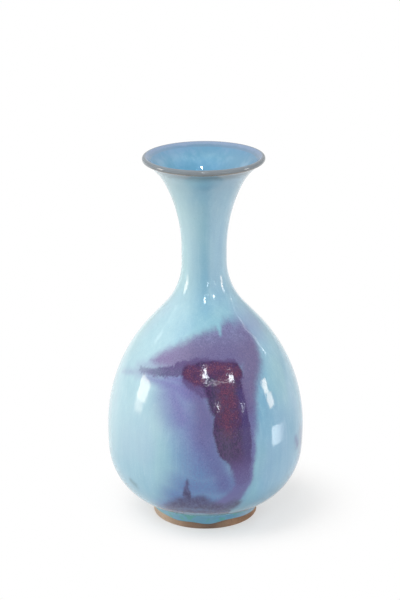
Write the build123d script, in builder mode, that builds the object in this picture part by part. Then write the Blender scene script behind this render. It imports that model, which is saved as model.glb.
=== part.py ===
"""Stoneware bottle vase: thrown sections luted together, a foot ring and the glaze coats.

Origin at the centre of the foot, on the table, with +Z up. Sizes in mm, angles in degrees.
"""

import os
from math import asin, atan2, cos, degrees, hypot, radians, sin, tan

from build123d import *

os.makedirs("parts", exist_ok=True)

# Finished outside form
height = 290.0
belly_radius = 77.0
belly_height = 72.5
waist_radius = 17.4
waist_length = 9.5
neck_height = 73.5  # from the top of the waist to the lip
mouth_radius = 46.8
lip_roll = 2.1
foot_radius = 41.0
foot_flare = 1.0
foot_height = 11.0

# Curves of the profile
side_curve = 220.0
side_sweep = 4.4
cone_length = 17.5
collar_curve = 52.0
trumpet_curve = 117.0
trumpet_sweep = 26.0

# Clay, glaze and slip
wall = 5.2
glaze = 1.2
inner_glaze = 0.8
lip_glaze = 0.4
slip = 0.8
squeeze = 1.6
scarf = 30.0

# Foot ring and the rolled edge of the glaze on it
foot_width = 8.5
foot_draft = 1.0
foot_chamfer = 1.2
glaze_run = 5.0
glaze_roll = 1.6
roll_nose = 1.3
cove = 3.0

# Copper brushed into the top of the glaze, as seen from the front
copper_depth = 0.6
splash_left = 59.0
splash_width = 98.0
splash_low = 27.0
splash_height = 138.0

# Where the hip arc leaves the side of the belly, and its arc down to the foot
foot_top_radius = foot_radius - foot_flare
hip_r = belly_radius - side_curve * (1 - cos(radians(side_sweep)))
hip_z = belly_height - side_curve * sin(radians(side_sweep))
hip_run = hip_r - foot_top_radius
hip_drop = hip_z - foot_height
hip_lean = hip_run * cos(radians(side_sweep)) - hip_drop * sin(radians(side_sweep))
hip_curve = (hip_run**2 + hip_drop**2) / (2 * hip_lean)
hip_sweep = 90 - side_sweep
hip_centre = hip_r - hip_curve * cos(radians(side_sweep))
underside = hip_z + hip_curve * sin(radians(side_sweep)) - hip_curve

# The shoulder arc, so that it, the straight cone and the collar arc run into each other
waist_top = height - neck_height
waist_bottom = waist_top - waist_length
shoulder_run = belly_radius - waist_radius
shoulder_rise = waist_bottom - belly_height
both_curves = (shoulder_run**2 + shoulder_rise**2 - cone_length**2) / (2 * shoulder_run)
shoulder_curve = both_curves - collar_curve
centres_lean = degrees(atan2(shoulder_rise, both_curves - shoulder_run))
shoulder_sweep = centres_lean - degrees(atan2(cone_length, both_curves))

# Flare from the end of the trumpet arc to the underside of the rolled lip
lip_r = mouth_radius - lip_roll
lip_z = height - lip_roll
trumpet_r = waist_radius + trumpet_curve * (1 - cos(radians(trumpet_sweep)))
trumpet_z = waist_top + trumpet_curve * sin(radians(trumpet_sweep))
flare_run = lip_r - trumpet_r
flare_rise = lip_z - lip_roll - trumpet_z
flare_lean = flare_run * cos(radians(trumpet_sweep)) - flare_rise * sin(radians(trumpet_sweep))
flare_curve = (flare_run**2 + flare_rise**2) / (2 * flare_lean)
flare_sweep = 2 * degrees(asin(hypot(flare_run, flare_rise) / (2 * flare_curve)))

# Depths under the finished outside
clay_face = glaze
clay_back = glaze + wall
bore_face = glaze + wall + inner_glaze
clay_roll = lip_roll - lip_glaze
lip_zone = lip_roll + glaze
outside_reach = belly_radius + glaze_roll


def body_line(depth):
    """Floor, hip, belly, shoulder, cone and collar up to the waist, `depth` inside the form."""
    floor = Line((0, underside + depth), (hip_centre, underside + depth))
    hip = JernArc(floor @ 1, (1, 0), hip_curve - depth, hip_sweep)
    side = JernArc(hip @ 1, hip % 1, side_curve - depth, side_sweep)
    shoulder = JernArc(side @ 1, side % 1, shoulder_curve - depth, shoulder_sweep)
    cone = PolarLine(shoulder @ 1, cone_length, direction=shoulder % 1)
    collar = JernArc(cone @ 1, cone % 1, collar_curve + depth, -shoulder_sweep)
    return Line(collar @ 1, (waist_radius - depth, waist_top))


def mouth_arc(throat, roll):
    """Radius and sweep of the arc that rises from the throat and touches the rolled lip."""
    run = lip_r - throat
    rise = lip_z - waist_top
    radius = (run**2 + rise**2 - roll**2) / (2 * (run - roll))
    return radius, degrees(atan2(rise, radius - run))


def draw_form(depth, roll):
    """Everything inside the pot's outside face, and the disc of the rolled lip."""
    radius, sweep = mouth_arc(waist_radius - bore_face, roll)
    brow = (lip_r - roll * cos(radians(sweep)), lip_z + roll * sin(radians(sweep)))
    with BuildLine() as outline:
        waist = body_line(depth)
        trumpet = JernArc(waist @ 1, (0, 1), trumpet_curve + depth, -trumpet_sweep)
        flare = JernArc(trumpet @ 1, trumpet % 1, flare_curve + depth, -flare_sweep)
        Polyline(flare @ 1, (lip_r, lip_z), brow, (0, brow[1]), (0, underside + depth))
    make_face(outline.edges())
    with Locations((lip_r, lip_z)):
        Circle(roll)


def draw_hollow(depth, roll, mode=Mode.ADD):
    """The space inside the wall, open at the mouth."""
    throat = waist_radius - depth
    radius, sweep = mouth_arc(throat, roll)
    with BuildLine() as outline:
        waist = body_line(depth)
        mouth = JernArc(waist @ 1, (0, 1), radius, -sweep)
        Polyline(mouth @ 1, ((mouth @ 1).X, height), (0, height), (0, underside + depth))
    make_face(outline.edges(), mode=mode)


def draw_beads(radius, mode):
    """Half-round beads of slip squeezed out on the inside of the two wall joints."""
    with Locations((belly_radius - clay_back, belly_height), (waist_radius - clay_back, waist_bottom)):
        Circle(radius, mode=mode)


def draw_above(r, z, mode):
    """Everything above the scarf line that rises outwards through (r, z)."""
    slope = tan(radians(scarf))
    low = z - slope * r
    high = low + slope * outside_reach
    top = height + high
    Polygon((0, low), (outside_reach, high), (outside_reach, top), (0, top), align=None, mode=mode)


def draw_below(r, z, mode):
    """Everything below the same scarf line."""
    slope = tan(radians(scarf))
    low = z - slope * r
    high = low + slope * outside_reach
    base = -height
    Polygon((0, low), (0, base), (outside_reach, base), (outside_reach, high), align=None, mode=mode)


def spot(across, up):
    """A point of the splash's outline, as shares of its own width and height."""
    return across * splash_width - splash_left, splash_low + up * splash_height


# Scarf joints, at the middle of the wall; the slip lies half above and half below
belly_joint_r = belly_radius - glaze - wall / 2
neck_joint_r = waist_radius - glaze - wall / 2
half_slip = slip / cos(radians(scarf)) / 2

# Half cross-sections that the pieces share
with BuildSketch() as finished_form:
    draw_form(0, lip_roll)

with BuildSketch() as clay_form:
    draw_form(clay_face, clay_roll)

with BuildSketch() as slip_form:
    draw_form(clay_face - slip, clay_roll)

with BuildSketch() as copper_form:
    draw_form(copper_depth, lip_roll)

with BuildSketch() as clay_hollow:
    draw_hollow(clay_back, clay_roll)

with BuildSketch() as fired_clay:
    add(clay_form.sketch)
    add(clay_hollow.sketch, mode=Mode.SUBTRACT)

with BuildSketch() as air_inside:
    draw_hollow(bore_face, lip_roll)
    draw_beads(squeeze + inner_glaze, Mode.SUBTRACT)

with BuildSketch() as slip_beads:
    draw_beads(squeeze, Mode.ADD)
    add(clay_hollow.sketch, mode=Mode.INTERSECT)

# Foot ring before it is fitted to the bowl, carried up into the body
foot_slope = foot_flare / foot_height
foot_reach = foot_height + cove + glaze
foot_reach_r = foot_radius - foot_slope * foot_reach
foot_inner_r = foot_radius - foot_width
foot_outer_line = ((foot_radius, 0), (foot_reach_r, foot_reach))
foot_inner_line = ((foot_inner_r - foot_draft, foot_reach), (foot_inner_r, 0))

with BuildSketch() as foot_form:
    Polygon(*foot_outer_line, *foot_inner_line, align=None)

# The thrown bowl, from the floor to the widest part of the belly
with BuildPart() as lower_body:
    with BuildSketch(Plane.XZ):
        add(fired_clay.sketch)
        draw_below(belly_joint_r, belly_height - half_slip, Mode.INTERSECT)
    revolve(axis=Axis.Z)
lower_body.part.label = "lower_body"

# The closed-in shoulder, from the belly to the narrow collar
with BuildPart() as upper_body:
    with BuildSketch(Plane.XZ):
        add(fired_clay.sketch)
        draw_above(belly_joint_r, belly_height + half_slip, Mode.INTERSECT)
        draw_below(neck_joint_r, waist_bottom - half_slip, Mode.INTERSECT)
    revolve(axis=Axis.Z)
upper_body.part.label = "upper_body"

# The trumpet neck with its rolled lip
with BuildPart() as neck:
    with BuildSketch(Plane.XZ):
        add(fired_clay.sketch)
        draw_above(neck_joint_r, waist_bottom + half_slip, Mode.INTERSECT)
    revolve(axis=Axis.Z)
neck.part.label = "neck"

# Slip in the belly joint, with the bead it squeezed out inside
with BuildPart() as belly_luting:
    with BuildSketch(Plane.XZ):
        add(fired_clay.sketch)
        draw_above(belly_joint_r, belly_height - half_slip, Mode.INTERSECT)
        draw_below(belly_joint_r, belly_height + half_slip, Mode.INTERSECT)
        add(slip_beads.sketch.faces().sort_by(Axis.Y)[0])
    revolve(axis=Axis.Z)
belly_luting.part.label = "belly_luting"

# Slip in the neck joint
with BuildPart() as neck_luting:
    with BuildSketch(Plane.XZ):
        add(fired_clay.sketch)
        draw_above(neck_joint_r, waist_bottom - half_slip, Mode.INTERSECT)
        draw_below(neck_joint_r, waist_bottom + half_slip, Mode.INTERSECT)
        add(slip_beads.sketch.faces().sort_by(Axis.Y)[-1])
    revolve(axis=Axis.Z)
neck_luting.part.label = "neck_luting"

# The foot ring, cradling the bowl, bevelled where it meets the table
with BuildPart() as foot_ring:
    with BuildSketch(Plane.XZ):
        add(foot_form.sketch)
        add(slip_form.sketch, mode=Mode.SUBTRACT)
    revolve(axis=Axis.Z)
    table_edges = foot_ring.faces().sort_by(Axis.Z)[0].edges()
    chamfer(table_edges, foot_chamfer)
foot_ring.part.label = "foot_ring"

# Slip between the bowl and the foot ring
with BuildPart() as foot_luting:
    with BuildSketch(Plane.XZ):
        add(foot_form.sketch)
        add(slip_form.sketch, mode=Mode.INTERSECT)
        add(clay_form.sketch, mode=Mode.SUBTRACT)
    revolve(axis=Axis.Z)
foot_luting.part.label = "foot_luting"

# Copper that was brushed over the glaze and melted into its top
with BuildPart() as copper_splash:
    with BuildSketch(Plane.XZ):
        add(finished_form.sketch)
        add(copper_form.sketch, mode=Mode.SUBTRACT)
    revolve(axis=Axis.Z)
    with BuildSketch(Plane.XZ):
        with BuildLine():
            Spline(
                spot(0, 0.68),
                spot(0.26, 0.88),
                spot(0.49, 0.96),
                spot(0.76, 1),
                spot(0.95, 0.96),
                spot(1, 0.74),
                spot(0.99, 0.22),
                spot(0.84, 0.08),
                spot(0.56, 0.01),
                spot(0.26, 0),
                spot(0.13, 0.08),
                spot(0.13, 0.42),
                spot(0.09, 0.59),
                periodic=True,
            )
        make_face()
    extrude(amount=outside_reach, mode=Mode.INTERSECT)
copper_splash.part.label = "copper_splash"

# The thick outer coat, with a rolled edge where it stopped on the foot wall
with BuildPart() as outer_glaze:
    with BuildSketch(Plane.XZ) as outer_glaze_section:
        add(finished_form.sketch)
        roll_low = foot_height - glaze_run
        roll_r = foot_radius - foot_slope * roll_low
        Polygon(
            (0, roll_low),
            (roll_r + glaze_roll, roll_low),
            (foot_reach_r + glaze_roll, foot_reach),
            (0, foot_reach),
            align=None,
        )
        add(clay_form.sketch, mode=Mode.SUBTRACT)
        Polygon((0, 0), *foot_outer_line, (0, foot_reach), align=None, mode=Mode.SUBTRACT)
        add(clay_hollow.sketch, mode=Mode.SUBTRACT)
        with Locations((lip_r, lip_z)):
            Circle(lip_zone, mode=Mode.SUBTRACT)
        roll_corner = outer_glaze_section.vertices().sort_by_distance((roll_r + glaze_roll, roll_low))[0]
        fillet(roll_corner, roll_nose)
        cove_corner = outer_glaze_section.vertices().sort_by_distance((roll_r + glaze_roll, foot_height))[0]
        fillet(cove_corner, cove)
    revolve(axis=Axis.Z)
    add(copper_splash.part, mode=Mode.SUBTRACT)
outer_glaze.part.label = "outer_glaze"

# The thin brown coat over the lip, where the glaze ran away
with BuildPart() as lip_coat:
    with BuildSketch(Plane.XZ):
        add(finished_form.sketch)
        add(fired_clay.sketch, mode=Mode.SUBTRACT)
        add(air_inside.sketch, mode=Mode.SUBTRACT)
        with Locations((lip_r, lip_z)):
            Circle(lip_zone, mode=Mode.INTERSECT)
    revolve(axis=Axis.Z)
lip_coat.part.label = "lip_coat"

# The coat poured round the inside
with BuildPart() as inner_coat:
    with BuildSketch(Plane.XZ):
        add(clay_hollow.sketch)
        draw_beads(squeeze, Mode.SUBTRACT)
        add(air_inside.sketch, mode=Mode.SUBTRACT)
        with Locations((lip_r, lip_z)):
            Circle(lip_zone, mode=Mode.SUBTRACT)
    revolve(axis=Axis.Z)
inner_coat.part.label = "inner_coat"

export_step(lower_body.part, "parts/lower_body.step")
export_step(upper_body.part, "parts/upper_body.step")
export_step(neck.part, "parts/neck.step")
export_step(belly_luting.part, "parts/belly_luting.step")
export_step(neck_luting.part, "parts/neck_luting.step")
export_step(foot_ring.part, "parts/foot_ring.step")
export_step(foot_luting.part, "parts/foot_luting.step")
export_step(copper_splash.part, "parts/copper_splash.step")
export_step(outer_glaze.part, "parts/outer_glaze.step")
export_step(lip_coat.part, "parts/lip_coat.step")
export_step(inner_coat.part, "parts/inner_coat.step")
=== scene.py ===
"""Looks of the stoneware bottle vase: glaze coats, copper splash, bare foot, light and camera.

Lengths are in metres and angles in degrees, apart from the strokes of copper, which are in mm.
"""

from math import atan2, cos, degrees, hypot, pi, radians, sin, tan

import bmesh
import bpy
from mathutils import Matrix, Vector, noise


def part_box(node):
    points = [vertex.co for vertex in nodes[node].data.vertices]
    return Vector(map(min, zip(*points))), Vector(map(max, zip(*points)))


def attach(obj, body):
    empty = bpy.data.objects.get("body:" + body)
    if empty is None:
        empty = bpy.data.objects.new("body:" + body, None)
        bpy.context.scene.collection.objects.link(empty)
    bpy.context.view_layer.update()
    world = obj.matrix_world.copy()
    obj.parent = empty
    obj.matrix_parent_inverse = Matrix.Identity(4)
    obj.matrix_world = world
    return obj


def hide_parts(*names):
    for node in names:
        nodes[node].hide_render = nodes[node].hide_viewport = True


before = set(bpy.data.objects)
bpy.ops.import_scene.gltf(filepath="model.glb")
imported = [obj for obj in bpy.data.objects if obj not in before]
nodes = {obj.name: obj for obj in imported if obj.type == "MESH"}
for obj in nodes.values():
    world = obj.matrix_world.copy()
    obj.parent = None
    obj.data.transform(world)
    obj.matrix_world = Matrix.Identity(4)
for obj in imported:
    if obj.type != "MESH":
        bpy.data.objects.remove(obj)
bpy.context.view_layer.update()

# ---- Sizes from the frame ----
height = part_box("lip_coat")[1].z
mouth_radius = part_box("lip_coat")[1].x
belly_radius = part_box("outer_glaze")[1].x
foot_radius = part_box("foot_ring")[1].x
clay_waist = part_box("neck_luting")[1].x

# ---- Form of the pot ----
glaze = 0.0012
wall = 0.0052
inner_glaze = 0.0008
lip_glaze = 0.0004
slip = 0.0008
scarf = 30.0  # slant of the joint between body and neck
waist_radius = clay_waist + glaze
belly_height = 0.0725
waist_length = 0.0095
neck_height = 0.0735
lip_roll = 0.0021
foot_flare = 0.0010
foot_height = 0.0110
foot_width = 0.0085
side_curve = 0.220
side_sweep = 4.4
cone_length = 0.0175
collar_curve = 0.052
trumpet_curve = 0.117
trumpet_sweep = 26.0
flare_share = 3  # of the flare's sweep, under the lip's own coat
clay_share = 6  # of the flare's sweep, where the clay runs straight to the lip
brow_sweep = 2.4  # of the mouth's sweep, under the lip's own coat
crown_sweep = 50  # of the lip's roll, on its way into the mouth
brow_tuck = Vector((0.0006, 0, -0.0004))  # steps from the lip coat's edges into the clay
under_tuck = Vector((-0.0007, 0, 0.0009))
heart = Vector((-0.0010, 0, 0.0004))  # from the lip's centre to the middle of its clay

# Where the glaze ran out over the foot
glaze_roll = 0.0016
roll_nose = 0.0013
cove = 0.003
glaze_edge = 0.006
glaze_bite = 0.0002  # how far the roll starts inside the foot's wall
edge_wave = 0.0004
tears = ((0.0022, 5, 11), (0.0007, -31, 8))  # how far down, at what angle, how many degrees wide
droop_fade = 0.004
tuck_angle = 78  # of the place on the hip where the coat's hidden back starts

# What the wheel and the fingers left on the foot
foot_bore_flare = 0.001
foot_bore_drop = 0.0018
foot_edge = 0.0012
long_edge = 0.002
grit_scale = 420
grit_relief = 0.00007
wave_scale = 130
wave_relief = 0.00010

# ---- Curves that meet each other smoothly ----
foot_top = foot_radius - foot_flare
hip_r = belly_radius - side_curve * (1 - cos(radians(side_sweep)))
hip_z = belly_height - side_curve * sin(radians(side_sweep))
hip_run = hip_r - foot_top
hip_drop = hip_z - foot_height
hip_lean = hip_run * cos(radians(side_sweep)) - hip_drop * sin(radians(side_sweep))
hip_curve = (hip_run**2 + hip_drop**2) / (2 * hip_lean)
hip_centre = Vector((hip_r - hip_curve * cos(radians(side_sweep)), 0,
                     hip_z + hip_curve * sin(radians(side_sweep))))

waist_top = height - neck_height
waist_bottom = waist_top - waist_length
shoulder_run = belly_radius - waist_radius
shoulder_rise = waist_bottom - belly_height
both_curves = (shoulder_run**2 + shoulder_rise**2 - cone_length**2) / (2 * shoulder_run)
shoulder_curve = both_curves - collar_curve
shoulder_sweep = degrees(atan2(shoulder_rise, both_curves - shoulder_run) - atan2(cone_length, both_curves))

lip_centre = Vector((mouth_radius - lip_roll, 0, height - lip_roll))
trumpet_end = Vector((waist_radius + trumpet_curve * (1 - cos(radians(trumpet_sweep))), 0,
                      waist_top + trumpet_curve * sin(radians(trumpet_sweep))))
flare = lip_centre - Vector((0, 0, lip_roll)) - trumpet_end
flare_lean = flare.x * cos(radians(trumpet_sweep)) - flare.z * sin(radians(trumpet_sweep))
flare_curve = flare.length_squared / (2 * flare_lean)
flare_sweep = 2 * degrees(atan2(flare.length / 2, (flare_curve**2 - flare.length_squared / 4) ** 0.5))

throat = waist_radius - glaze - wall - inner_glaze
mouth_run = lip_centre.x - throat
mouth_rise = lip_centre.z - waist_top
mouth_curve = (mouth_run**2 + mouth_rise**2 - lip_roll**2) / (2 * (mouth_run - lip_roll))
mouth_sweep = degrees(atan2(mouth_rise, mouth_curve - mouth_run))
mouth_centre = Vector((throat + mouth_curve, 0, waist_top))
clay_mouth = mouth_curve - inner_glaze

turns = 192  # steps round the wheel
crease = 50  # degrees from which an edge stays sharp
touching = 1e-7

# ---- Unevenness of a hand-thrown pot ----
oval = 0.0015
oval_twist = 20  # radians per metre
oval_rise = (0.01, 0.05)
left_hollow = 0.003
hollow_below = (0.03, 0.07)
hollow_above = (0.13, 0.09)
neck_lean = 0.0010  # the neck stands a little to the left
mouth_lean = 0.0014
mouth_tilt = 0.0003
lean_start = 0.155
tilt_start = 0.25


# ---- Drawing a profile with a moving tip ----
def toward(angle):
    """The unit vector in the XZ plane at an angle in degrees, 0 outward and 90 upward."""
    return Vector((cos(radians(angle)), 0, sin(radians(angle))))


class Outline:
    """A profile in the XZ plane, drawn from a first point by arcs and straight runs."""

    def __init__(self, bm, start, heading):
        self.bm = bm
        self.heading = heading
        self.tip = bm.verts.new(start)
        self.first = self.tip

    def run(self, length, steps=1):
        """A straight run on the present heading."""
        step = toward(self.heading) * (length / steps)
        for _ in range(steps):
            new = bmesh.ops.extrude_vert_indiv(self.bm, verts=[self.tip])["verts"][0]
            new.co = self.tip.co + step
            self.tip = new

    def go_to(self, place):
        """A straight line to a place, whatever the heading."""
        new = bmesh.ops.extrude_vert_indiv(self.bm, verts=[self.tip])["verts"][0]
        new.co = place
        self.tip = new

    def arc(self, radius, sweep, steps):
        """Turns left for a sweep above 0 and right for one below, in degrees."""
        side = 90 if sweep > 0 else -90
        centre = self.tip.co + toward(self.heading + side) * radius
        spun = bmesh.ops.spin(self.bm, geom=[self.tip], cent=centre, axis=(0, -1, 0),
                              angle=radians(sweep), steps=steps, use_duplicate=False)
        self.tip = [v for v in spun["geom_last"] if isinstance(v, bmesh.types.BMVert)][0]
        self.heading += sweep

    def close(self):
        """A straight line back to the first point."""
        self.bm.edges.new((self.tip, self.first))


def between(value, low, high):
    """How far value has come from low to high, eased at both ends."""
    part = min(1.0, max(0.0, (value - low) / (high - low)))
    return part * part * (3 - 2 * part)


def throw(bm):
    """Gives a turned form the small unevenness of a hand-thrown pot, inside its own sizes."""
    for v in bm.verts:
        angle = atan2(v.co.y, v.co.x)
        squeeze = 1 - oval * between(v.co.z, *oval_rise) * (1 + cos(2 * angle + oval_twist * v.co.z))
        v.co.x *= squeeze
        v.co.y *= squeeze
        if v.co.x < 0:
            v.co.x *= 1 - left_hollow * between(v.co.z, *hollow_below) * between(v.co.z, *hollow_above)
        v.co.x -= neck_lean * between(v.co.z, lean_start, waist_top)
        v.co.x -= (mouth_lean - neck_lean) * between(v.co.z, waist_top, height)
        v.co.z -= mouth_tilt * (1 - v.co.x / mouth_radius) * between(v.co.z, tilt_start, height)


def make_piece(name, bm, material, stands_for):
    """Turns a finished bmesh into a piece that rides on the pot."""
    bmesh.ops.recalc_face_normals(bm, faces=bm.faces)
    for face in bm.faces:
        face.smooth = True
    for edge in bm.edges:
        if len(edge.link_faces) == 2 and edge.calc_face_angle(0) > radians(crease):
            edge.smooth = False
    mesh = bpy.data.meshes.new(name)
    bm.to_mesh(mesh)
    bm.free()
    piece = bpy.data.objects.new(name, mesh)
    bpy.context.scene.collection.objects.link(piece)
    mesh.materials.append(material)
    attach(piece, "root")
    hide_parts(*stands_for)


def spin_round(bm, axis_points=False):
    """Turns the closed profile once round the wheel; points on the axis are merged on request."""
    bmesh.ops.spin(bm, geom=bm.verts[:] + bm.edges[:], cent=(0, 0, 0), axis=(0, 0, 1),
                   angle=2 * pi, steps=turns, use_merge=True, use_duplicate=False)
    bmesh.ops.remove_doubles(bm, verts=bm.verts[:], dist=touching)
    if axis_points:
        bmesh.ops.dissolve_degenerate(bm, dist=touching, edges=bm.edges[:])


# ---- Shader nodes ----
near_axis = 0.001


def tone(code):
    """A colour written as sRGB hex, as linear RGBA."""
    parts = [int(code[i : i + 2], 16) / 255 for i in (0, 2, 4)]
    return tuple(p / 12.92 if p <= 0.04045 else ((p + 0.055) / 1.055) ** 2.4 for p in parts) + (1,)


def add(tree, kind, inputs=None, **settings):
    """A new node, with its settings and its inputs either linked or set."""
    made = tree.nodes.new(kind)
    for name, value in settings.items():
        setattr(made, name, value)
    for name, value in (inputs or {}).items():
        if isinstance(value, bpy.types.NodeSocket):
            tree.links.new(value, made.inputs[name])
        else:
            made.inputs[name].default_value = value
    return made


def calc(tree, operation, a, b=0.0, c=0.0):
    """A sum on plain numbers."""
    return add(tree, "ShaderNodeMath", {0: a, 1: b, 2: c}, operation=operation).outputs[0]


def vector_calc(tree, operation, a, b=(0, 0, 0)):
    """A sum on vectors; b is a plain number when it scales."""
    second = "Scale" if operation == "SCALE" else 1
    made = add(tree, "ShaderNodeVectorMath", {0: a, second: b}, operation=operation)
    return made.outputs["Value"] if operation in ("LENGTH", "DOT_PRODUCT") else made.outputs["Vector"]


def ramp(tree, value, low, high, to_low=0.0, to_high=1.0):
    """A smooth step from to_low to to_high as value goes from low to high."""
    return add(tree, "ShaderNodeMapRange",
               {"Value": value, "From Min": low, "From Max": high, "To Min": to_low, "To Max": to_high},
               interpolation_type="SMOOTHSTEP", clamp=False).outputs[0]


def both(tree, a, b):
    """Where two masks hold at once."""
    return calc(tree, "MULTIPLY", a, b)


def share_of(tree, part, radius):
    """How far a part points along a radius, from -1 to 1; it fades to nothing at the axis."""
    return calc(tree, "DIVIDE", part, calc(tree, "MAXIMUM", radius, near_axis))


def blend(tree, amount, under, over):
    """Colour over laid on colour under by amount."""
    return add(tree, "ShaderNodeMix", {0: amount, 6: under, 7: over}, data_type="RGBA").outputs[2]


def cloud(tree, place, scale, detail=3.0, rough=0.5, stretch=(1, 1, 1)):
    """Noise from 0 to 1 at a scale per metre; stretch squeezes it along an axis."""
    stretched = add(tree, "ShaderNodeMapping", {"Vector": place, "Scale": stretch}).outputs[0]
    return add(tree, "ShaderNodeTexNoise", {"Vector": stretched, "Scale": scale, "Detail": detail,
               "Roughness": rough})


def new_group(name, inputs, outputs):
    """An empty node group with typed sockets; returns it with its input and output nodes."""
    group = bpy.data.node_groups.new(name, "ShaderNodeTree")
    for label, kind, value in inputs:
        socket = group.interface.new_socket(name=label, in_out="INPUT", socket_type=kind)
        if value is not None:
            socket.default_value = value
    for label, kind in outputs:
        group.interface.new_socket(name=label, in_out="OUTPUT", socket_type=kind)
    return group, group.nodes.new("NodeGroupInput"), group.nodes.new("NodeGroupOutput")


def use(tree, group, inputs):
    """A group's node, with its inputs either linked or set."""
    return add(tree, "ShaderNodeGroup", inputs, node_tree=group)


def make_brush_stroke():
    """A tapering stroke between two places, in mm, as a soft-edged mask."""
    group, given, result = new_group(
        "brush_stroke",
        [("Place", "NodeSocketVector", None), ("From", "NodeSocketVector", None),
         ("To", "NodeSocketVector", None), ("Start Width", "NodeSocketFloat", 5.0),
         ("End Width", "NodeSocketFloat", 5.0), ("Softness", "NodeSocketFloat", 2.0)],
        [("Mask", "NodeSocketFloat")])
    away = vector_calc(group, "SUBTRACT", given.outputs["Place"], given.outputs["From"])
    line = vector_calc(group, "SUBTRACT", given.outputs["To"], given.outputs["From"])
    along = calc(group, "DIVIDE", vector_calc(group, "DOT_PRODUCT", away, line),
                 vector_calc(group, "DOT_PRODUCT", line, line))
    along = calc(group, "MINIMUM", calc(group, "MAXIMUM", along, 0.0), 1.0)
    off = vector_calc(group, "SUBTRACT", away, vector_calc(group, "SCALE", line, along))
    distance = vector_calc(group, "LENGTH", off)
    growth = calc(group, "SUBTRACT", given.outputs["End Width"], given.outputs["Start Width"])
    width = calc(group, "MULTIPLY_ADD", growth, along, given.outputs["Start Width"])
    edge = calc(group, "DIVIDE", calc(group, "SUBTRACT", distance, width), given.outputs["Softness"])
    group.links.new(ramp(group, edge, -1.0, 1.0, 1.0, 0.0), result.inputs["Mask"])
    return group


brush_stroke = make_brush_stroke()
girth = 70.0  # mm that one radian round the belly stands for in a stroke's place


def stroke(tree, place, start, end, wide=(5, 5), soft=2.0):
    """start and end are mm round the belly from the front and mm above the table."""
    return use(tree, brush_stroke, {"Place": place, "From": (*start, 0), "To": (*end, 0),
               "Start Width": wide[0], "End Width": wide[1], "Softness": soft}).outputs["Mask"]


def strokes(tree, place, *each):
    """The strongest of several strokes."""
    mask = stroke(tree, place, *each[0])
    for one in each[1:]:
        mask = calc(tree, "MAXIMUM", mask, stroke(tree, place, *one))
    return mask


def unroll(tree, coords):
    """A place on the pot as mm round the belly from the front and mm above the table."""
    across, back, up = add(tree, "ShaderNodeSeparateXYZ", {0: coords}).outputs
    angle = calc(tree, "ARCTAN2", across, calc(tree, "MULTIPLY", back, -1.0))
    round_mm = calc(tree, "MULTIPLY", angle, girth)
    up_mm = calc(tree, "MULTIPLY", up, 1000.0)
    return add(tree, "ShaderNodeCombineXYZ", {"X": round_mm, "Y": up_mm}).outputs[0]


def wander(tree, coords, place, scale, reach, stretch=(1, 1, 1)):
    """Moves a place by up to about reach mm, by noise of a scale per metre."""
    drift = cloud(tree, coords, scale, 2.0, 0.6, stretch).outputs["Color"]
    centred = vector_calc(tree, "SUBTRACT", drift, (0.5, 0.5, 0.5))
    return vector_calc(tree, "ADD", place, vector_calc(tree, "SCALE", centred, 2 * reach))


def fray(tree, mask, grain, reach):
    """Breaks a soft mask's edge into grains."""
    grainy = calc(tree, "MULTIPLY_ADD", calc(tree, "SUBTRACT", grain, 0.5), reach, mask)
    return ramp(tree, grainy, 0.05, 0.95)


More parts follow.
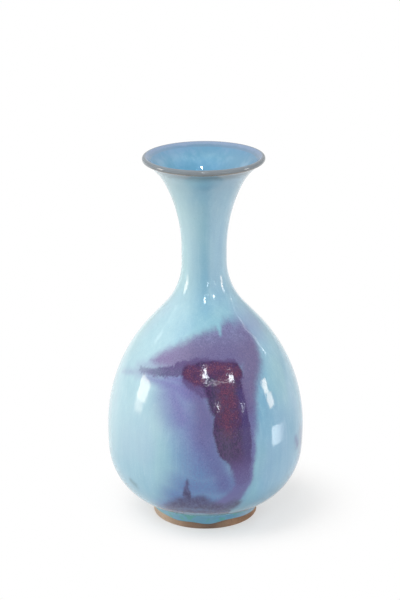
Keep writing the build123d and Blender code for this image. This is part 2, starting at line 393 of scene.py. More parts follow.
def make_bare_glaze():
    """The blue glaze by itself: thin at the lip and pooled at the foot, with painted sheen, light and shade
    in places.
    """
    group, given, result = new_group(
        "bare_glaze", [("Vector", "NodeSocketVector", None), ("Milk", "NodeSocketFloat", 1.0)],
        [("Color", "NodeSocketColor"), ("Painted Sheen", "NodeSocketFloat")])
    coords = given.outputs["Vector"]
    with_milk = given.outputs["Milk"]
    across, back, up = add(group, "ShaderNodeSeparateXYZ", {0: coords}).outputs

    # Flow, grain and threads of the glaze as it ran
    drifts = cloud(group, coords, 14.0, 3.0, 0.55).outputs["Fac"]
    runs = cloud(group, coords, 90.0, 3.0, 0.6, (1, 1, 0.14)).outputs["Fac"]
    flow = calc(group, "MULTIPLY_ADD", runs, 0.35, calc(group, "MULTIPLY", drifts, 0.65))
    colour = blend(group, ramp(group, flow, 0.34, 0.68), tone("6FA1BC"), tone("86B2C6"))
    grain = cloud(group, coords, 1000.0, 2.0, 0.6).outputs["Fac"]
    colour = blend(group, ramp(group, grain, 0.50, 0.72, 0.0, 0.10), colour, tone("C4E2E6"))
    colour = blend(group, ramp(group, grain, 0.46, 0.28, 0.0, 0.08), colour, tone("5C8FAE"))
    threads = cloud(group, coords, 420.0, 2.0, 0.6, (1, 1, 0.05)).outputs["Fac"]
    colour = blend(group, ramp(group, threads, 0.50, 0.72, 0.0, 0.16), colour, tone("5E8FB0"))
    colour = blend(group, ramp(group, threads, 0.46, 0.28, 0.0, 0.14), colour, tone("B5D2D8"))

    # Faint lavender and green patches, iron specks, and painted shade on the neck towards the lip
    blush = cloud(group, coords, 24.0, 2.0, 0.5, (1, 1, 0.4)).outputs["Color"]
    warmth, green, _ = add(group, "ShaderNodeSeparateColor", {0: blush}).outputs
    colour = blend(group, ramp(group, warmth, 0.50, 0.68, 0.0, 0.22), colour, tone("9AA8C8"))
    colour = blend(group, ramp(group, green, 0.50, 0.68, 0.0, 0.22), colour, tone("9CC6BC"))
    iron = add(group, "ShaderNodeTexVoronoi", {"Vector": coords, "Scale": 150.0, "Randomness": 1.0})
    speck = both(group, ramp(group, iron.outputs["Distance"], 0.085, 0.045), ramp(group, drifts, 0.50, 0.60))
    colour = blend(group, calc(group, "MULTIPLY", speck, 0.35), colour, tone("4E6E80"))
    # Painted shade: the neck darkens towards the lip, and most just under it
    colour = blend(group, ramp(group, up, 0.225, 0.275, 0.0, 0.30), colour, tone("6590A4"))
    painted_shade_under_lip = both(group, ramp(group, up, 0.258, 0.286, 0.0, 0.45), with_milk)
    colour = blend(group, painted_shade_under_lip, colour, tone("5A84A2"))

    # Painted light on the neck to the right of the front, and painted shade at the front
    reach = add(group, "ShaderNodeCombineXYZ", {"X": across, "Y": back})
    radius = vector_calc(group, "LENGTH", reach.outputs[0])
    rightward = share_of(group, across, radius)
    forward = share_of(group, calc(group, "MULTIPLY", back, -1.0), radius)
    high = both(group, ramp(group, up, 0.165, 0.200), with_milk)
    painted_light_right = both(group, ramp(group, rightward, -0.10, 0.34, 0.0, 0.24), high)
    painted_light_right = both(group, painted_light_right, ramp(group, rightward, 0.98, 0.60, 0.80, 1.0))
    colour = blend(group, painted_light_right, colour, tone("C4D0D8"))
    # Painted shade where the neck faces the front
    facing = calc(group, "MULTIPLY_ADD", rightward, -0.34, calc(group, "MULTIPLY", forward, 0.94))
    painted_shade_front = both(group, ramp(group, facing, 0.84, 1.0, 0.0, 0.26), high)
    colour = blend(group, painted_shade_front, colour, tone("5F93AE"))

    # Inside the mouth it is bluer down the throat, with painted reflection making the sides paler
    inside = calc(group, "SUBTRACT", 1.0, with_milk)
    right_reflection = ramp(group, rightward, 0.20, 0.75)
    left_reflection = both(group, ramp(group, rightward, -0.45, -0.85), ramp(group, radius, 0.030, 0.042))
    painted_reflection_sides = calc(group, "MAXIMUM", right_reflection, left_reflection)
    depth = both(group, ramp(group, radius, 0.038, 0.026, 0.0, 0.40), inside)
    colour = blend(group, depth, colour, tone("5796C4"))
    painted_reflection_sides = calc(group, "MULTIPLY", both(group, painted_reflection_sides, inside), 0.42)
    colour = blend(group, painted_reflection_sides, colour, tone("B2C0CE"))

    # Pooled over the foot: turquoise in front with green in it, paler at the sides
    pool = both(group, ramp(group, up, 0.060, 0.012, 0.0, 0.58), ramp(group, forward, 0.4, 0.9, 0.5, 1.0))
    colour = blend(group, pool, colour, tone("5CA6CA"))
    # Painted sheen: a pale veil low on the right side of the belly
    painted_sheen_right = both(group, ramp(group, rightward, 0.62, 0.92, 0.0, 0.22), ramp(group, up, 0.060, 0.120))
    colour = blend(group, both(group, painted_sheen_right, with_milk), colour, tone("D0E2E4"))
    # Painted shade under the belly, deepest on the right
    painted_shade_under_belly = both(group, ramp(group, up, 0.048, 0.022, 0.0, 0.50), ramp(group, up, 0.013, 0.019))
    painted_shade_under_belly = both(group, painted_shade_under_belly, ramp(group, rightward, -0.60, 0.60, 0.6, 1.2))
    colour = blend(group, painted_shade_under_belly, colour, tone("507E94"))
    # Green eddies and paler sides where the glaze pooled at the foot
    at_foot = ramp(group, up, 0.021, 0.014)
    eddies = cloud(group, coords, 120.0, 2.0, 0.6, (1, 1, 2)).outputs["Fac"]
    greener = both(group, ramp(group, eddies, 0.48, 0.64, 0.0, 0.68), at_foot)
    colour = blend(group, greener, colour, tone("5FB09C"))
    paler = both(group, ramp(group, forward, 0.92, 0.60, 0.0, 0.60), at_foot)
    paler = both(group, paler, ramp(group, rightward, -0.50, 0.10, 0.35, 1.0))
    colour = blend(group, paler, colour, tone("B4C6D6"))

    # Paler and milkier on the left: painted sheen of the light from the left over the glaze's milky tone
    aside = calc(group, "MULTIPLY_ADD", across, -0.97, calc(group, "MULTIPLY", back, -0.25))
    turn = share_of(group, aside, radius)
    turn = calc(group, "MULTIPLY_ADD", calc(group, "SUBTRACT", drifts, 0.5), 0.6, turn)
    milk_and_sheen = both(group, ramp(group, turn, 0.15, 1.0, 0.0, 0.40), with_milk)
    milk_and_sheen = both(group, milk_and_sheen, ramp(group, up, 0.015, 0.110, 0.3, 1.0))
    colour = blend(group, milk_and_sheen, colour, tone("CBDFD9"))

    # Thin over the lip: slate outside and lavender inside, grey on its edge, an olive line below
    upright = add(group, "ShaderNodeCombineXYZ", {"X": calc(group, "ADD", across, mouth_lean), "Y": back})
    out = calc(group, "SUBTRACT", vector_calc(group, "LENGTH", upright.outputs[0]), lip_centre.x)
    tilt = calc(group, "MULTIPLY_ADD", across, mouth_tilt / mouth_radius, lip_centre.z - mouth_tilt)
    over = calc(group, "SUBTRACT", up, tilt)
    off_lip = add(group, "ShaderNodeCombineXYZ", {"X": out, "Y": over})
    from_lip = vector_calc(group, "LENGTH", off_lip.outputs[0])
    uneven = calc(group, "SUBTRACT", cloud(group, coords, 160.0, 3.0, 0.6).outputs["Fac"], 0.5)
    bare = calc(group, "MULTIPLY_ADD", uneven, 0.003, from_lip)
    thin = blend(group, with_milk, tone("6A7FA6"), tone("5E7A88"))
    colour = blend(group, ramp(group, bare, 0.016, 0.003, 0.0, 0.55), colour, thin)
    # Painted shade below the lip, strongest at the front and to the right
    shade = both(group, ramp(group, bare, 0.0130, 0.0034, 0.0, 0.80), with_milk)
    shade = both(group, shade, ramp(group, rightward, -0.50, 0.0, 0.65, 1.0))
    colour = blend(group, shade, colour, tone("50646E"))
    grey = blend(group, ramp(group, out, 0.0006, -0.0014), tone("757879"), tone("8495AE"))
    colour = blend(group, ramp(group, bare, 0.0036, 0.0022, 0.0, 0.85), colour, grey)
    below = calc(group, "MULTIPLY_ADD", out, 0.45, calc(group, "MULTIPLY", over, -0.89))
    below = calc(group, "MULTIPLY_ADD", uneven, 0.0012, below)
    line = both(group, ramp(group, below, 0.0014, 0.0020), ramp(group, bare, 0.0036, 0.0026))
    colour = blend(group, calc(group, "MULTIPLY", line, 0.7), colour, tone("6B6250"))

    # Painted sheen: a pale veil that shows at a slant, most on the left and high up, where the light falls
    painted_sheen = both(group, ramp(group, turn, -0.8, 0.5, 0.12, 0.50), ramp(group, up, 0.02, 0.16, 0.6, 1.0))
    group.links.new(colour, result.inputs["Color"])
    group.links.new(painted_sheen, result.inputs["Painted Sheen"])
    return group


bare_glaze = make_bare_glaze()


def make_copper_splash():
    """Copper spread by the fire over the front: where it lies, how strong, and its colours."""
    group, given, result = new_group(
        "copper_splash", [("Vector", "NodeSocketVector", None), ("Color", "NodeSocketColor", None)],
        [("Color", "NodeSocketColor"), ("Core", "NodeSocketFloat")])
    coords = given.outputs["Vector"]
    colour = given.outputs["Color"]
    up = add(group, "ShaderNodeSeparateXYZ", {0: coords}).outputs["Z"]
    place = unroll(group, coords)

    # Places blurred by the flow of the glaze: broad wander, frayed edges, hairs
    wide = wander(group, coords, place, 38.0, 3.0)
    frayed = wander(group, coords, wide, 240.0, 1.4)
    loose = wander(group, coords, place, 200.0, 1.6)
    hairy = wander(group, coords, loose, 650.0, 1.9, (1, 1, 0.5))
    tight = wander(group, coords, place, 120.0, 1.3)
    mottle = cloud(group, coords, 700.0, 3.0, 0.75, (1, 1, 0.6)).outputs["Fac"]
    speckle = cloud(group, coords, 1100.0, 2.0, 0.7).outputs["Fac"]
    clots = cloud(group, coords, 210.0, 3.0, 0.6).outputs["Fac"]
    hairs = cloud(group, coords, 520.0, 3.0, 0.65, (1, 1, 0.12)).outputs["Fac"]

    # Where each colour lies: from, to, widths at both ends and softness, in mm
    field = strokes(
        group, wide,
        ((-52, 129), (-34, 128), (0.5, 5), 7.0),
        ((-34, 131), (-6, 130), (3.5, 6), 6.0),
        ((-34, 128), (-14, 122), (6.5, 10), 10.0),
        ((-26, 122), (-15, 104), (10.5, 12), 15.0),
        ((-14, 106), (-6, 84), (10, 12), 18.0),
        ((-6, 84), (-2, 64), (13, 16), 15.0),
        ((-12, 50), (16, 50), (14, 13), 13.0),
        ((-18, 38), (10, 38), (15, 9), 11.0),
        ((-40, 26), (-26, 33), (3, 8), 9.0),
    )
    depths = strokes(
        group, wide,
        ((-16, 130), (0, 122), (4, 6.5), 5.0),
        ((-6, 126), (1, 108), (7, 8.5), 7.0),
        ((1, 108), (1, 90), (8.5, 9.5), 7.0),
        ((1, 90), (8, 70), (9.5, 7.5), 7.0),
        ((8, 70), (14, 50), (7.5, 5.5), 6.0),
    )
    mauve = strokes(
        group, frayed,
        ((-58, 140), (-44, 142.5), (-1, 4.5), 7.0),
        ((-44, 142.5), (-28, 146), (4, 8.5), 7.5),
        ((-28, 146), (0, 149), (8, 13), 7.0),
        ((0, 149), (34, 153), (13, 15), 6.0),
        ((34, 153), (52, 155), (15, 11), 9.0),
        ((48, 146), (36.5, 128), (12, 8.5), 9.0),
        ((36.5, 128), (30, 110), (8.5, 9), 7.0),
        ((31, 112), (29, 96), (10.5, 9.5), 6.0),
        ((27.5, 94), (26.8, 72), (9.5, 9.0), 3.4),
        ((26.8, 72), (28.2, 54), (9.0, 6.4), 3.2),
        ((28.2, 54), (23.4, 40), (6.4, 5.2), 3.2),
        ((23, 42), (12, 32), (5.5, 6), 4.0),
    )
    drip = stroke(group, frayed, (18.5, 175), (19.2, 161.5), (5.0, 2.0), 2.8)
    mauve = both(group, mauve, calc(group, "MULTIPLY_ADD", drip, -0.75, 1.0))
    mauve = fray(group, mauve, hairs, 0.22)
    haze = strokes(
        group, frayed,
        ((-90, 123), (-62, 132), (0.6, 2.6), 3.5),
        ((-68, 130), (-50, 134), (2.5, 4.5), 5.5),
        ((-70, 134), (-48, 140), (1.0, 4), 6.0),
        ((-54, 139), (-40, 144), (1, 6), 7.0),
        ((58, 161), (92, 162), (9, 6), 12.0),
    )
    line = strokes(
        group, hairy,
        ((-64, 132), (-44, 134), (2.0, 2.8), 2.2),
        ((-44, 134), (-24, 137), (2.8, 4.4), 2.0),
        ((-25, 138.5), (-6, 140), (4.5, 6.5), 2.0),
        ((-6, 140), (26, 139), (6.5, 5.6), 1.8),
        ((26, 139), (29, 133), (5.0, 4.0), 2.0),
        ((-15, 132), (-1, 125), (4.5, 5.5), 2.4),
    )
    line = fray(group, line, mottle, 0.9)
    core = strokes(
        group, tight,
        ((-16, 136.5), (-4, 136), (4.8, 8), 2.6),
        ((-4, 136), (8, 134), (8, 10), 1.8),
        ((8, 134), (27, 136), (10, 6.5), 1.8),
        ((17, 130), (19, 114), (13.4, 12.2), 1.8),
        ((4, 127), (12, 112), (5, 8), 3.0),
        ((19.3, 116), (19.2, 96), (12, 13.9), 1.7),
        ((19.2, 96), (21, 82), (13.9, 12.6), 1.7),
        ((21, 82), (25, 70), (12.6, 8.2), 2.2),
        ((25, 70), (26, 56), (8.2, 6.0), 3.6),
    )
    fire = strokes(
        group, hairy,
        ((-14, 137), (-6, 134), (5, 6), 2.6),
        ((2, 139), (14, 139), (3.5, 4.5), 2.4),
        ((18, 138), (28, 136), (4.5, 4.5), 2.4),
        ((17, 130), (17, 118), (7.5, 7.5), 4.0),
        ((17, 118), (17, 104), (7.5, 7.5), 4.0),
        ((17, 104), (16, 92), (7.5, 2.5), 5.0),
    )
    rim = stroke(group, hairy, (29.5, 132), (31, 108), (2.2, 3.0), 4.0)
    fringe = stroke(group, hairy, (29, 122), (31, 66), (3, 4.5), 3.0)
    smear = strokes(
        group, frayed,
        ((-48, 15), (-30, 25), (2.5, 5.5), 7.0),
        ((-30, 26), (-17, 32.5), (4.8, 7.6), 6.0),
        ((-17, 32.5), (-4, 34), (7.6, 8.5), 5.5),
        ((-4, 34), (6, 30), (8.5, 6), 5.5),
        ((6, 30), (16, 28), (6, 5.5), 5.0),
        ((16, 28), (22, 31), (5.5, 6), 5.0),
        ((-34, 23), (20, 23.5), (3.0, 3.6), 3.0),
        ((-13.5, 40), (-13.5, 57), (3.4, 0.6), 1.8),
    )
    smear = fray(group, smear, hairs, 0.55)
    spot = stroke(group, frayed, (-61, 43), (-57, 41), (2, 2), 2.5)
    side_spot = stroke(group, frayed, (80, 72), (83, 66), (2, 3), 4.0)
    # A violet tint with painted shade over it, low on the belly's right edge
    side = stroke(group, frayed, (93, 72), (100, 48), (5, 9), 9.0)

    # The colours, from the faintest to the strongest
    colour = blend(group, calc(group, "MULTIPLY", haze, 0.48), colour, tone("8276A6"))
    field_tone = blend(group, ramp(group, up, 0.056, 0.112), tone("5276A8"), tone("756DA5"))
    field_tone = blend(group, ramp(group, mottle, 0.35, 0.65, 0.0, 0.40), field_tone, tone("565A96"))
    field_tone = blend(group, ramp(group, speckle, 0.50, 0.68, 0.0, 0.35), field_tone, tone("8E94C6"))
    colour = blend(group, calc(group, "MULTIPLY", field, 0.90), colour, field_tone)
    depths_tone = blend(group, ramp(group, up, 0.070, 0.112), tone("5A6096"), tone("645688"))
    depths_tone = blend(group, ramp(group, mottle, 0.40, 0.65, 0.0, 0.35), depths_tone, tone("4A4A86"))
    colour = blend(group, calc(group, "MULTIPLY", depths, 0.85), colour, depths_tone)
    mauve_tone = blend(group, ramp(group, up, 0.162, 0.148), tone("75729A"), tone("6C5981"))
    mauve_tone = blend(group, ramp(group, clots, 0.35, 0.7, 0.0, 0.5), mauve_tone, tone("60507A"))
    mauve_tone = blend(group, ramp(group, mottle, 0.42, 0.62, 0.0, 0.45), mauve_tone, tone("524475"))
    mauve_tone = blend(group, ramp(group, speckle, 0.50, 0.68, 0.0, 0.28), mauve_tone, tone("9083AC"))
    along = add(group, "ShaderNodeSeparateXYZ", {0: place}).outputs["X"]
    leftward = ramp(group, along, -5.0, -42.0, 0.0, 0.50)
    mauve_tone = blend(group, leftward, mauve_tone, tone("9184AA"))
    near_core = stroke(group, wide, (-4, 142), (26, 144), (7, 10), 8.0)
    mauve_tone = blend(group, calc(group, "MULTIPLY", near_core, 0.70), mauve_tone, tone("5F5080"))
    mauve_tone = blend(group, ramp(group, up, 0.126, 0.090, 0.0, 0.85), mauve_tone, tone("5C5A92"))
    colour = blend(group, calc(group, "MULTIPLY", mauve, 0.90), colour, mauve_tone)
    smear_tone = blend(group, ramp(group, clots, 0.40, 0.62), tone("40426C"), tone("332D56"))
    smear_tone = blend(group, ramp(group, hairs, 0.45, 0.65, 0.0, 0.25), smear_tone, tone("6A6E98"))
    smear = both(group, smear, ramp(group, up, 0.016, 0.022, 0.40, 0.92))
    colour = blend(group, smear, colour, smear_tone)
    colour = blend(group, calc(group, "MULTIPLY", rim, 0.70), colour, tone("5A4676"))
    line_tone = blend(group, ramp(group, speckle, 0.40, 0.62), tone("403462"), tone("655280"))
    line = both(group, line, ramp(group, along, -66.0, -30.0, 0.45, 0.86))
    colour = blend(group, line, colour, line_tone)
    core_tone = blend(group, ramp(group, mottle, 0.38, 0.62), tone("28103C"), tone("462456"))
    core_tone = blend(group, calc(group, "MULTIPLY", fringe, 0.85), core_tone, tone("3C2D66"))
    core_tone = blend(group, ramp(group, up, 0.080, 0.060, 0.0, 0.80), core_tone, tone("533D76"))
    core_part = both(group, fray(group, core, speckle, 0.9), ramp(group, up, 0.050, 0.074, 0.35, 0.94))
    colour = blend(group, core_part, colour, core_tone)
    ember = blend(group, ramp(group, speckle, 0.34, 0.68), tone("703753"), tone("3E2044"))
    ember = blend(group, ramp(group, mottle, 0.46, 0.62, 0.0, 0.60), ember, tone("3C244C"))
    burnt = both(group, fire, ramp(group, clots, 0.66, 0.46, 0.35, 0.94))
    colour = blend(group, burnt, colour, ember)

    # Dark and pale dots in all of it, the spots that lie apart, and painted shade with a violet tint at the
    # right edge
    copper = both(group, calc(group, "MAXIMUM", field, mauve), ramp(group, up, 0.036, 0.056, 0.25, 1.0))
    dark = both(group, ramp(group, speckle, 0.52, 0.66), calc(group, "MULTIPLY_ADD", core, 0.14, 0.34))
    colour = blend(group, both(group, dark, copper), colour, tone("3C3068"))
    pale = both(group, ramp(group, speckle, 0.46, 0.32), calc(group, "MULTIPLY_ADD", core, -0.06, 0.17))
    colour = blend(group, both(group, pale, copper), colour, tone("9D94C0"))
    colour = blend(group, calc(group, "MULTIPLY", spot, 0.50), colour, tone("55757C"))
    # Painted shade with a violet tint, low on the belly's right edge
    colour = blend(group, calc(group, "MULTIPLY", side, 0.60), colour, tone("74708E"))
    colour = blend(group, calc(group, "MULTIPLY", side_spot, 0.75), colour, tone("565E8C"))
    group.links.new(colour, result.inputs["Color"])
    group.links.new(core, result.inputs["Core"])
    return group


copper_splash = make_copper_splash()


def make_glaze_skin():
    """Height of the glaze's surface in mm: slow ripples, orange peel, pinholes, crusted copper."""
    group, given, result = new_group(
        "glaze_skin", [("Vector", "NodeSocketVector", None), ("Core", "NodeSocketFloat", 0.0)],
        [("Height", "NodeSocketFloat")])
    coords = given.outputs["Vector"]
    swell = cloud(group, coords, 42.0, 2.0, 0.5).outputs["Fac"]
    ripple = cloud(group, coords, 130.0, 2.0, 0.5, (1, 1, 0.7)).outputs["Fac"]
    peel = cloud(group, coords, 1100.0, 2.0, 0.5).outputs["Fac"]
    pits = add(group, "ShaderNodeTexVoronoi", {"Vector": coords, "Scale": 190.0}).outputs["Distance"]
    pit = ramp(group, pits, 0.07, 0.02, 0.0, 1.0)
    crust = cloud(group, coords, 300.0, 1.0, 0.6).outputs["Fac"]
    crystals = cloud(group, coords, 1500.0, 1.0, 0.6).outputs["Fac"]
    crust = calc(group, "MULTIPLY_ADD", crystals, 0.10, crust)
    total = calc(group, "MULTIPLY_ADD", swell, 0.60, calc(group, "MULTIPLY", ripple, 0.16))
    total = calc(group, "MULTIPLY_ADD", peel, 0.014, total)
    total = calc(group, "MULTIPLY_ADD", pit, -0.03, total)
    total = calc(group, "MULTIPLY_ADD", both(group, crust, given.outputs["Core"]), 0.13, total)
    group.links.new(total, result.inputs["Height"])
    return group


glaze_skin = make_glaze_skin()
height_unit = 0.001  # heights of bumps are in mm
glaze_roughness = 0.08
glaze_ior = 1.52


def new_material(name):
    """A new material, its tree, its Principled shader and its Object coordinates."""
    made = bpy.data.materials.new(name)
    made.use_nodes = True
    tree = made.node_tree
    shader = tree.nodes["Principled BSDF"]
    coords = add(tree, "ShaderNodeTexCoord").outputs["Object"]
    return made, tree, shader, coords


def make_glaze(name, relief, milk_and_sheen=1.0, depth=0.0, with_copper=False):
    """Glossy glaze over stoneware, coloured by its place on the pot."""
    made, tree, shader, coords = new_material(name)
    coat = use(tree, bare_glaze, {"Vector": coords, "Milk": milk_and_sheen})
    colour = coat.outputs["Color"]
    if depth:
        streaks = cloud(tree, coords, 70.0, 3.0, 0.6, (1, 1, 0.1)).outputs["Fac"]
        streaked = ramp(tree, streaks, 0.62, 0.38, 0.3 * depth, 1.5 * depth)
        colour = blend(tree, streaked, colour, tone("4F8BA6"))
    skin = use(tree, glaze_skin, {"Vector": coords})
    # Painted sheen: the glaze turns pale at a slant, as a reflection of the light would
    edge = add(tree, "ShaderNodeLayerWeight", {"Blend": 0.35}).outputs["Facing"]
    painted_sheen = both(tree, ramp(tree, edge, 0.35, 1.0, 0.0, milk_and_sheen), coat.outputs["Painted Sheen"])
    colour = blend(tree, painted_sheen, colour, tone("C6DADE"))
    if with_copper:
        copper = use(tree, copper_splash, {"Vector": coords, "Color": colour})
        colour = copper.outputs["Color"]
        tree.links.new(copper.outputs["Core"], skin.inputs["Core"])
    tree.links.new(colour, shader.inputs["Base Color"])
    dull = cloud(tree, coords, 70.0, 3.0, 0.6).outputs["Fac"]
    rough = ramp(tree, dull, 0.3, 0.7, glaze_roughness * 0.8, glaze_roughness * 1.3)
    tree.links.new(rough, shader.inputs["Roughness"])
    bump = add(tree, "ShaderNodeBump",
               {"Height": skin.outputs["Height"], "Distance": height_unit, "Strength": relief})
    tree.links.new(bump.outputs["Normal"], shader.inputs["Normal"])
    shader.inputs["IOR"].default_value = glaze_ior
    return made


def make_stoneware(name, warm, cool, ring_scale):
    """Bare fired clay with turning rings, grog and iron specks."""
    made, tree, shader, coords = new_material(name)
    across, back, up = add(tree, "ShaderNodeSeparateXYZ", {0: coords}).outputs
    flat = add(tree, "ShaderNodeCombineXYZ", {"X": across, "Y": back})
    radius = vector_calc(tree, "LENGTH", flat.outputs[0])
    turned = calc(tree, "ADD", radius, up)
    wobble = cloud(tree, coords, 60.0, 2.0, 0.5).outputs["Fac"]
    phase = calc(tree, "MULTIPLY_ADD", turned, ring_scale, calc(tree, "MULTIPLY", wobble, 5.0))
    rings = calc(tree, "MULTIPLY_ADD", calc(tree, "SINE", phase), 0.5, 0.5)
    patches = cloud(tree, coords, 48.0, 4.0, 0.6).outputs["Fac"]
    grit = cloud(tree, coords, 900.0, 3.0, 0.7).outputs["Fac"]
    colour = blend(tree, ramp(tree, patches, 0.35, 0.65), tone(warm), tone(cool))
    colour = blend(tree, ramp(tree, grit, 0.45, 0.7, 0.0, 0.35), colour, tone("5B4636"))
    colour = blend(tree, calc(tree, "MULTIPLY", rings, 0.12), colour, tone("C7A98A"))

    # Painted shade right at the front under the belly, and painted light on the left
    backward = share_of(tree, back, radius)
    colour = blend(tree, ramp(tree, backward, -0.80, -1.0, 0.0, 0.55), colour, tone("70625A"))
    rightward = share_of(tree, across, radius)
    colour = blend(tree, ramp(tree, rightward, -0.25, -0.85, 0.0, 0.75), colour, tone("DEC6AE"))
    specks = add(tree, "ShaderNodeTexVoronoi", {"Vector": coords, "Scale": 420.0}).outputs["Distance"]
    colour = blend(tree, ramp(tree, specks, 0.16, 0.06, 0.0, 0.8), colour, tone("2E241F"))
    tree.links.new(colour, shader.inputs["Base Color"])
    tree.links.new(ramp(tree, grit, 0.3, 0.7, 0.62, 0.85), shader.inputs["Roughness"])
    relief = calc(tree, "MULTIPLY_ADD", grit, 0.10, calc(tree, "MULTIPLY", rings, 0.08))
    bump = add(tree, "ShaderNodeBump", {"Height": relief, "Distance": height_unit, "Strength": 0.8})
    tree.links.new(bump.outputs["Normal"], shader.inputs["Normal"])
    return made


blue_glaze = make_glaze("blue_glaze", relief=0.7, with_copper=True)
lip_glaze_finish = make_glaze("lip_glaze", relief=0.4, milk_and_sheen=0.3)
inside_glaze = make_glaze("inside_glaze", relief=0.5, milk_and_sheen=0.0, depth=0.36)
foot_clay = make_stoneware("foot_clay", warm="BC9070", cool="946C50", ring_scale=5200.0)
body_clay = make_stoneware("body_clay", warm="B08D70", cool="9A7A60", ring_scale=3600.0)
joining_slip = make_stoneware("joining_slip", warm="9C7C62", cool="866850", ring_scale=2400.0)


# ---- The coats ----
def draw_outside(line, depth, fine):
    """Hip, belly, shoulder, collar, waist, trumpet and flare, up to the lip's own coat."""
    step = 3 if fine else 1
    line.arc(hip_curve - depth, (90 - side_sweep) - line.heading, 17 * step)
    line.arc(side_curve - depth, side_sweep, 4 * step)
    line.arc(shoulder_curve - depth, shoulder_sweep, 19 * step)
    line.run(cone_length, 3 * step)
    line.arc(collar_curve + depth, -shoulder_sweep, 10 * step)
    line.run(waist_length, 2 * step)
    line.arc(trumpet_curve + depth, -trumpet_sweep, 12 * step)
    line.arc(flare_curve + depth, flare_share - flare_sweep, 9 * step)


def hip_point(depth, angle):
    """A place on the hip arc, at an angle below the level of its centre."""
    return hip_centre + toward(-angle) * (hip_curve - depth)


def make_outer_coat():
    """A rolled edge on the foot wall, a cove, then the pot's own profile."""
    bm = bmesh.new()
    foot_wall = foot_radius - foot_flare * glaze_edge / foot_height
    cove_x = foot_wall + glaze_roll + cove
    cove_z = hip_centre.z - ((hip_curve + cove) ** 2 - (cove_x - hip_centre.x) ** 2) ** 0.5
    cove_turn = degrees(atan2(hip_centre.z - cove_z, cove_x - hip_centre.x))
    line = Outline(bm, (foot_wall - glaze_bite, 0, glaze_edge), 0)
    line.run(glaze_roll - roll_nose + glaze_bite, 1)
    line.arc(roll_nose, 90, 8)
    line.run(cove_z - line.tip.co.z, 5)
    line.arc(cove, -cove_turn, 10)
    draw_outside(line, 0, True)
    outer_end = line.tip
    back = Outline(bm, hip_point(glaze, tuck_angle), 90 - tuck_angle)
    draw_outside(back, glaze, False)
    bm.edges.new((outer_end, back.tip))
    bm.edges.new((line.first, back.first))
    spin_round(bm)
    for v in bm.verts:
        if v.co.z < foot_height and hypot(v.co.x, v.co.y) < cove_x:
            angle = degrees(atan2(v.co.x, -v.co.y))
            droop = edge_wave * sin(radians(3 * angle + 40)) + edge_wave * sin(radians(5 * angle))
            for fall, middle, width in tears:
                droop -= fall * 2 ** (-(((angle - middle) / width) ** 2))
            v.co.z += droop * min(1.0, (foot_height - v.co.z) / droop_fade)
    throw(bm)
    make_piece("outer_coat", bm, blue_glaze, ("outer_glaze", "copper_splash"))


def make_lip_coat():
    """The flare's last stretch, the bead of the lip and the brow inside the mouth."""
    bm = bmesh.new()
    flare_end_heading = 90 - trumpet_sweep - flare_sweep
    hidden_roll = lip_roll - 2 * lip_glaze
    line = Outline(bm, lip_centre - Vector((0, 0, lip_roll)), flare_end_heading + 180)
    line.arc(flare_curve, flare_share, 4)
    under_end = line.tip
    line.tip, line.heading = line.first, 0
    line.arc(lip_roll, 90 + 180 - mouth_sweep - crown_sweep, 22)
    line.arc(lip_roll, crown_sweep, 8)
    line.arc(mouth_curve, brow_sweep, 4)
    brow_end = line.tip
    back = Outline(bm, brow_end.co + brow_tuck, 0)
    back.go_to(lip_centre + heart)
    back.go_to(lip_centre + Vector((0, 0, hidden_roll)))
    back.go_to(lip_centre + Vector((hidden_roll, 0, 0)))
    back.go_to(lip_centre + Vector((0, 0, -hidden_roll)))
    back.go_to(under_end.co + under_tuck)
    bm.edges.new((brow_end, back.first))
    bm.edges.new((under_end, back.tip))
    spin_round(bm)
    throw(bm)
    make_piece("lip_glaze_coat", bm, lip_glaze_finish, ("lip_coat",))


def make_neck_clay():
    """The neck as thrown, so that it leans with the coats over it."""
    bm = bmesh.new()
    clay_roll = lip_roll - lip_glaze
    scarf_rise = wall / 2 * tan(radians(scarf))
    joint_gap = slip / cos(radians(scarf)) / 2
    line = Outline(bm, (waist_radius - glaze, 0, waist_bottom + joint_gap + scarf_rise), 90)
    line.run(waist_length - joint_gap - scarf_rise, 2)
    line.arc(trumpet_curve + glaze, -trumpet_sweep, 12)
    line.arc(flare_curve + glaze, clay_share - flare_sweep, 8)
    line.go_to(lip_centre - Vector((0, 0, clay_roll)))
    line.heading = 0
    line.arc(clay_roll, 180 + 90 - mouth_sweep, 20)
    line.go_to(mouth_centre + toward(180 - mouth_sweep) * clay_mouth)
    line.heading = 270 - mouth_sweep
    line.arc(clay_mouth, mouth_sweep, 20)
    line.run(waist_length - joint_gap + scarf_rise, 2)
    line.close()
    spin_round(bm)
    throw(bm)
    make_piece("neck_clay", bm, body_clay, ("neck",))


def draw_inside(line, depth, mouth, fine):
    """From below the brow down to the middle of the floor."""
    step = 2 if fine else 1
    line.arc(mouth, mouth_sweep - brow_sweep, 20 * step)
    line.run(waist_length, 2 * step)
    line.arc(collar_curve + depth, shoulder_sweep, 12 * step)
    line.run(cone_length, 2 * step)
    line.arc(shoulder_curve - depth, -shoulder_sweep, 16 * step)
    line.arc(side_curve - depth, -side_sweep, 4 * step)
    line.arc(hip_curve - depth, side_sweep - 90, 20 * step)
    line.go_to((0, 0, line.tip.co.z))


def make_inside_coat():
    """Down the mouth, the throat and the belly to the floor."""
    bm = bmesh.new()
    back_depth = glaze + wall
    face_depth = back_depth + inner_glaze
    brow = 180 - mouth_sweep + brow_sweep
    line = Outline(bm, mouth_centre + toward(brow) * mouth_curve, 90 + brow)
    draw_inside(line, face_depth, mouth_curve, True)
    back = Outline(bm, mouth_centre + toward(brow) * clay_mouth, 90 + brow)
    draw_inside(back, back_depth, clay_mouth, False)
    bm.edges.new((line.first, back.first))
    spin_round(bm, axis_points=True)
    throw(bm)
    make_piece("inside_coat", bm, inside_glaze, ("inner_coat",))


